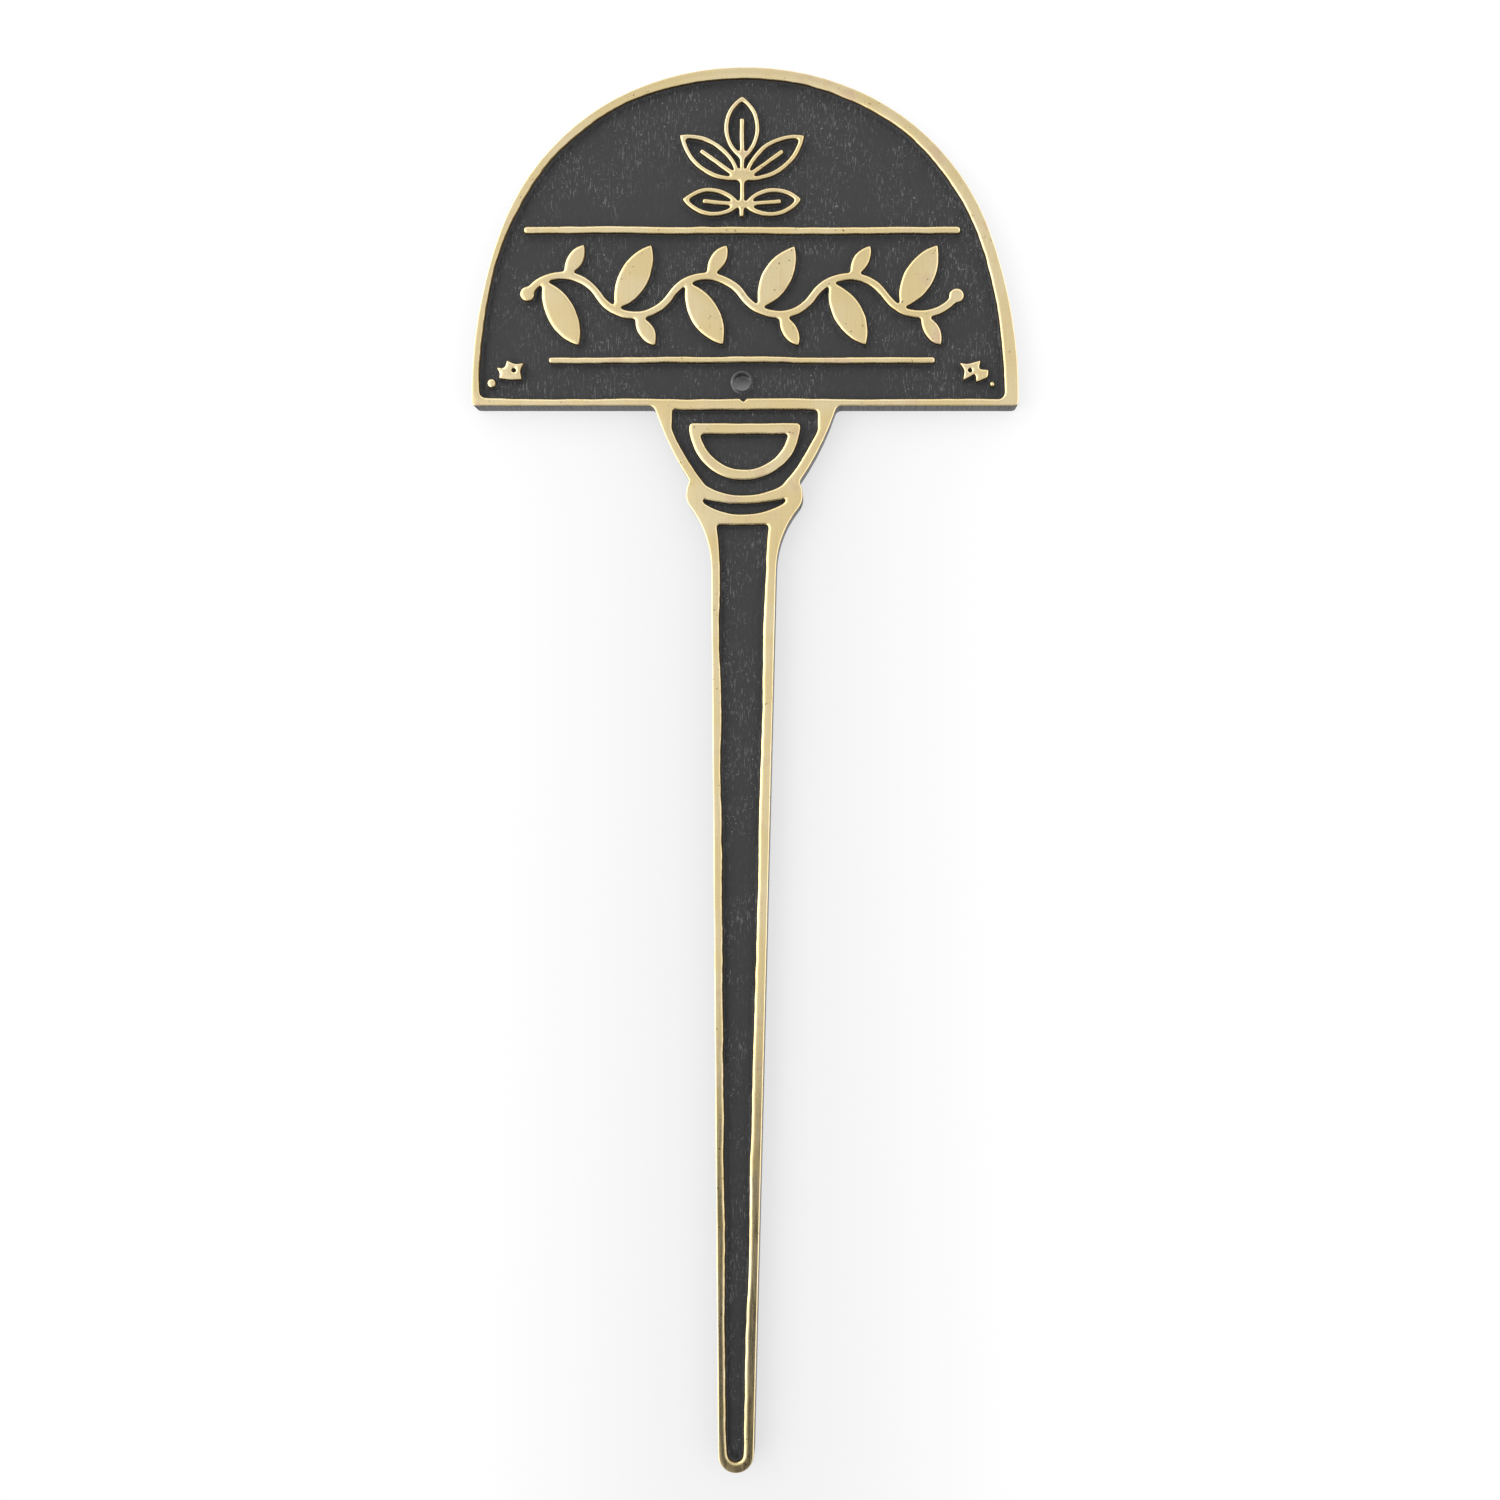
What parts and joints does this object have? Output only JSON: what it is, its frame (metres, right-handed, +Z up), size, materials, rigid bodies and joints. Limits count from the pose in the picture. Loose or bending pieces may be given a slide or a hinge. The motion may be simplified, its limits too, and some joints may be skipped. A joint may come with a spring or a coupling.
{
  "type": "plant label stake",
  "caption": "Cast brass plant marker: half-round plate with raised rim, rules, vine and sprig on black enamel, a goblet neck and a long flat tapered stake.",
  "frame": {"origin": "on the flat back, at the soil line, below the middle of the plate", "axes": "+Z up the stake, -Y out of the face that carries the relief, +X to the right as the marker is read"},
  "size_m": [0.117, 0.0042, 0.3004],
  "materials": {
    "brass": "polished, then worn to satin, on sand-cast brass",
    "black_enamel": "matte black over the sand-cast grain"
  },
  "bodies": {
    "root": {"brass_casting": "brass", "plate_enamel": "black_enamel", "neck_enamel": "black_enamel", "ring_enamel": "black_enamel", "collar_enamel": "black_enamel", "stake_enamel": "black_enamel", "back_enamel": "black_enamel"}
  },
  "joints": []
}
